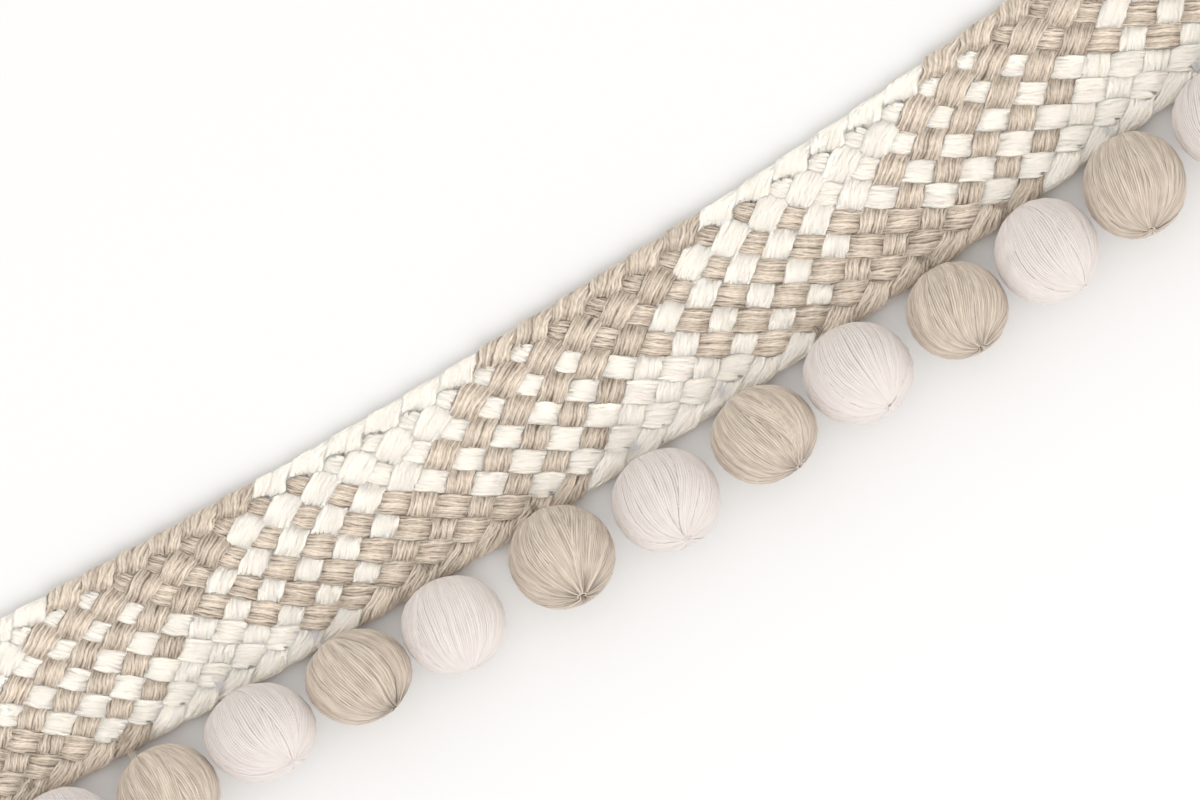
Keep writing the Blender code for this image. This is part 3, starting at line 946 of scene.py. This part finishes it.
def addCurl(batch, ball, random):
    turn = np.linspace(0, math.radians(random.uniform(*curl["turn"])), curl["points"])
    turn = turn + random.uniform(*anyPhase)
    aside = random.uniform(*anyPhase)
    x = ball.curl * np.cos(turn) + curl["aside"] * ball.curl * math.cos(aside)
    y = ball.curl * np.sin(turn) + curl["aside"] * ball.curl * math.sin(aside)
    side = np.hypot(x, y)
    top = ball.radius * (1 - ball.flattening) - side**2 / (2 * ball.radius) + curl["lift"]
    top -= curl["sink"] * bell(side, curl["sinkReach"])
    top -= curl["sink"] * np.abs(np.linspace(-1, 1, len(turn))) ** 4
    rings = tubeRings(np.column_stack([x, y, top]), curl["thread"], curl["sides"])
    # painted light and shade: the curl is lighter on top than underneath
    height = (rings[..., 2] - rings[..., 2].mean(1, keepdims=True)) / curl["thread"]
    batch.add(rings, curl["tone"] + curl["paintedTopLight"] * height, firstAround=curl["number"])


def makeBall(number, ball):
    random = np.random.default_rng(winding["seed"] + number)
    batch = TubeBatch()
    addInside(batch, ball)
    addThreads(batch, ball, random)
    if ball.curl:
        addCurl(batch, ball, random)
    matrix = ballFrame(ball)
    piece = batch.mesh(
        f"woundBall_{number:02d}", threads[ball.tone], place=lambda points: inFrame(matrix, points))
    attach(piece, "root")
    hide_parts(f"ball_{number:02d}")
    return piece


woundBalls = [makeBall(number, ball) for number, ball in enumerate(balls, start=1)]
print("balls wound:", len(woundBalls), "faces:", sum(len(piece.data.polygons) for piece in woundBalls))


# Ties: fine thread from the end of each ball, over the edge strand and down into the plait

tie = {
    "threads": 9,
    "radius": 0.00006,
    "sides": 3,
    "samples": 18,
    "sunk": 0.0008,            # they start this far inside the ball
    "lift": 0.0002,            # and leave it this much above the middle of its end
    "poleSpread": 0.0009,
    "spread": 0.0013,
    "keys": ((-0.0127, 0.0021), (-0.0119, 0.00292), (-0.0109, 0.00286), (-0.0101, 0.0016)),
    "uneven": (0.00006, 0.00003),      # along the plait and in height
    "pale": (2, 5, 6, 9, 10, 14, 15),  # ties of these balls are of a pale thread, the rest beige
    "warm": 4,                 # and this one's is warmer
    "numbers": 100,            # the threads' numbers, each with its own shade, spread over this many
    "seed": 5,
}


def makeTie(number, ball):
    random = np.random.default_rng(tie["seed"] + number)
    matrix = ballFrame(ball)
    reach = ball.radius * (1 - ball.flattening)
    pole = matrix @ Vector((0, 0, -reach))
    inside = matrix @ Vector((0, 0, tie["sunk"] - reach))
    along = math.atan2(pole.x - shiftX, layout["bendRadius"] + shiftY - pole.y) * layout["bendRadius"]
    unevenAlong, unevenHeight = tie["uneven"]
    batch = TubeBatch()
    for place in np.linspace(-0.5, 0.5, tie["threads"]):
        lean = random.normal(0, unevenAlong, len(tie["keys"]))
        aside = Vector((1, 0, 0)) * place * tie["poleSpread"]
        begin = inside + aside
        start = pole + aside + Vector((0, 0, tie["lift"]))
        over = [
            bent([along + place * tie["spread"] + shift, out, height + random.normal(0, unevenHeight)])
            for shift, (out, height) in zip(lean, tie["keys"])
        ]
        keys = np.array([tuple(begin), tuple(begin), tuple(start), *over, over[-1]])
        at = np.linspace(1, len(keys) - 3 + 0.999, tie["samples"])     # just short of the last key
        rings = tubeRings(smoothThrough(keys, at), tie["radius"], tie["sides"])
        batch.add(rings, random.uniform(0, 1), firstAround=round(tie["numbers"] * place))
    kind = "tie" if number in tie["pale"] else "beige"
    if number == tie["warm"]:
        kind = "tieWarm"
    piece = batch.mesh(f"tie_{number:02d}", threads[kind], place=np.asarray)
    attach(piece, "root")
    return piece


ties = [makeTie(number, ball) for number, ball in enumerate(balls, start=1)]
print("ties made:", len(ties))


# Table, light and camera

studio = {
    "viewTurn": -31.72,        # degrees: the plait climbs to the right in the picture
    "viewWidth": 0.1824,       # metres across the picture
    "viewCentre": (0.0002, 0.0006, 0.003),
    "lens": 300,
    "sensor": 36,
    "viewReach": 50,           # metres
    "tableSize": 6.0,
    "tableDrop": 0.00005,      # of its top, to stay clear of the lowest threads
    "tableColour": (0.775, 0.765, 0.755, 1),
    "tableRoughness": 0.8,
    "tableSpecular": 0.1,
    "worldStrength": 1.12,
    "keyPower": 3.2,
    "keySize": 0.8,
    "keyPlace": (-0.02, -0.64, 0.85),
}


def makeTable():
    place = (0, 0, -studio["tableDrop"])
    bpy.ops.mesh.primitive_plane_add(size=studio["tableSize"], location=place)
    table = bpy.context.object
    table.name = "table"
    material, shader = makeShader("tableTop")
    shader.inputs["Base Color"].default_value = studio["tableColour"]
    shader.inputs["Roughness"].default_value = studio["tableRoughness"]
    shader.inputs["Specular IOR Level"].default_value = studio["tableSpecular"]
    table.data.materials.append(material)


def makeLight(name, place, size, power):
    data = bpy.data.lights.new(name, "AREA")
    data.shape = "DISK"
    data.size = size
    data.energy = power
    lamp = addPiece(name, data)
    lamp.location = place
    lamp.rotation_euler = (-Vector(place)).to_track_quat("-Z", "Y").to_euler()
    lamp.visible_camera = False


def makeCamera():
    data = bpy.data.cameras.new("camera")
    data.lens = studio["lens"]
    data.sensor_width = studio["sensor"]
    data.clip_end = studio["viewReach"]
    camera = addPiece("camera", data)
    distance = studio["viewWidth"] * studio["lens"] / studio["sensor"]
    camera.location = Vector(studio["viewCentre"]) + Vector((0, 0, distance))
    camera.rotation_euler = (0, 0, math.radians(studio["viewTurn"]))
    bpy.context.scene.camera = camera


def makeWorld():
    world = bpy.data.worlds.new("softRoom")
    world.use_nodes = True
    background = world.node_tree.nodes["Background"]
    background.inputs["Color"].default_value = (1, 1, 1, 1)
    background.inputs["Strength"].default_value = studio["worldStrength"]
    bpy.context.scene.world = world


makeTable()
makeLight("key", studio["keyPlace"], studio["keySize"], studio["keyPower"])
makeWorld()
makeCamera()
bpy.context.scene.view_settings.view_transform = "Standard"
print("table, light and camera set")
